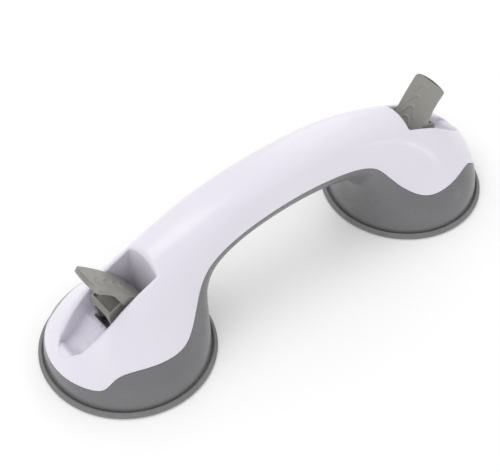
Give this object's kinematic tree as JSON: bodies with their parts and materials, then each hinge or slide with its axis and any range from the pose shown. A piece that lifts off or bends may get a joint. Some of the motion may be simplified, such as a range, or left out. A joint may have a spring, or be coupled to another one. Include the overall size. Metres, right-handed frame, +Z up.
{
  "type": "suction grab bar",
  "caption": "Arched hand grip that bridges two lever-locked suction cups, for holding on to smooth walls and tubs.",
  "frame": {"origin": "on the surface that the cups stand on, under the middle of the grip", "axes": "+X along the bar towards the right cup, +Y to the back, +Z up away from the surface"},
  "size_m": [0.295, 0.095, 0.08],
  "materials": {
    "white_plastic": "glossy moulded plastic, white with a cool lilac tint",
    "grey_plastic": "semi-gloss moulded plastic, mid grey",
    "lever_plastic": "satin moulded plastic, warm light grey, with moulded grip ridges",
    "rubber": "smooth satin rubber, mid grey",
    "post_plastic": "plain natural grey moulded plastic",
    "steel": "plain zinc-bright steel"
  },
  "bodies": {
    "root": {"top_shell": "white_plastic", "bottom_shell": "grey_plastic", "left_suction_cup": "rubber", "left_cam_plate": "steel", "left_shell_screw_a": "steel", "left_shell_screw_b": "steel", "left_shell_screw_c": "steel", "left_shell_screw_d": "steel", "right_suction_cup": "rubber", "right_cam_plate": "steel", "right_shell_screw_a": "steel", "right_shell_screw_b": "steel", "right_shell_screw_c": "steel", "right_shell_screw_d": "steel"},
    "left_post": {"left_pull_post": "post_plastic", "left_lever_pin": "steel"},
    "left_lever": {"left_lever": "lever_plastic"},
    "right_post": {"right_pull_post": "post_plastic", "right_lever_pin": "steel"},
    "right_lever": {"right_lever": "lever_plastic"}
  },
  "joints": [
    {"name": "left_post_lift", "type": "slide", "parent": "root", "child": "left_post", "axis": [0, 0, 1], "range_m": [-0.00048, 0.00301], "deforming": ["left_suction_cup"]},
    {"name": "left_lever_turn", "type": "hinge", "parent": "left_post", "child": "left_lever", "pos_m": [-0.1, 0, 0.03499], "axis": [0, -1, 0], "range_deg": [-10, 62]},
    {"name": "right_post_lift", "type": "slide", "parent": "root", "child": "right_post", "axis": [0, 0, 1], "range_m": [0, 0.0035], "deforming": ["right_suction_cup"]},
    {"name": "right_lever_turn", "type": "hinge", "parent": "right_post", "child": "right_lever", "pos_m": [0.1, 0, 0.0345], "axis": [0, 1, 0], "range_deg": [0, 72]}
  ],
  "couplings": [
    {"joint": "left_lever_turn", "follows": "left_post_lift", "rad_per_m": 359.04},
    {"joint": "right_lever_turn", "follows": "right_post_lift", "rad_per_m": 359.04}
  ]
}
